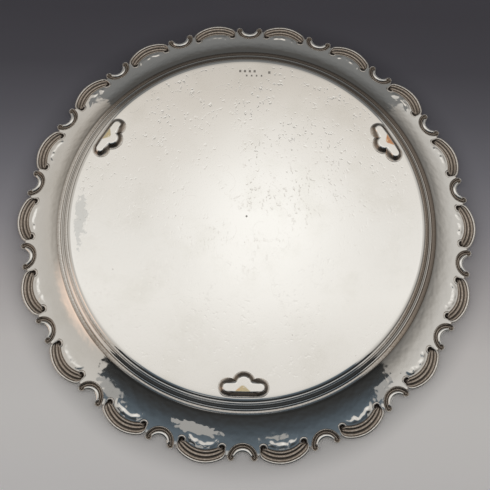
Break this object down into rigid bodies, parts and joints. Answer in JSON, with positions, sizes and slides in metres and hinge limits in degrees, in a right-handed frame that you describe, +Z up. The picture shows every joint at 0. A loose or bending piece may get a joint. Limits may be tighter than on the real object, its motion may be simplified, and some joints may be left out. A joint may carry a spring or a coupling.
{
  "type": "round footed salver",
  "caption": "Round serving salver: a flat well with a reeded step, a flared rim edged with alternating large and small C-scroll mounts, on low trefoil feet.",
  "frame": {"origin": "on the table, under the middle of the well", "axes": "+Z up, out of the well and along the tray's axis; +Y from the middle to foot_1"},
  "size_m": [0.305, 0.301, 0.0203],
  "materials": {
    "tray_silver": "polished",
    "scroll_silver": "satin",
    "foot_silver": "polished"
  },
  "bodies": {
    "root": {"tray_body": "tray_silver", "large_scroll_01": "scroll_silver", "large_scroll_02": "scroll_silver", "large_scroll_03": "scroll_silver", "large_scroll_04": "scroll_silver", "large_scroll_05": "scroll_silver", "large_scroll_06": "scroll_silver", "large_scroll_07": "scroll_silver", "large_scroll_08": "scroll_silver", "large_scroll_09": "scroll_silver", "large_scroll_10": "scroll_silver", "large_scroll_11": "scroll_silver", "large_scroll_12": "scroll_silver", "large_scroll_13": "scroll_silver", "large_scroll_14": "scroll_silver", "large_scroll_15": "scroll_silver", "large_scroll_16": "scroll_silver", "large_scroll_17": "scroll_silver", "large_scroll_18": "scroll_silver", "small_scroll_01": "scroll_silver", "small_scroll_02": "scroll_silver", "small_scroll_03": "scroll_silver", "small_scroll_04": "scroll_silver", "small_scroll_05": "scroll_silver", "small_scroll_06": "scroll_silver", "small_scroll_07": "scroll_silver", "small_scroll_08": "scroll_silver", "small_scroll_09": "scroll_silver", "small_scroll_10": "scroll_silver", "small_scroll_11": "scroll_silver", "small_scroll_12": "scroll_silver", "small_scroll_13": "scroll_silver", "small_scroll_14": "scroll_silver", "small_scroll_15": "scroll_silver", "small_scroll_16": "scroll_silver", "small_scroll_17": "scroll_silver", "small_scroll_18": "scroll_silver", "foot_1": "foot_silver", "foot_2": "foot_silver", "foot_3": "foot_silver"}
  },
  "joints": []
}
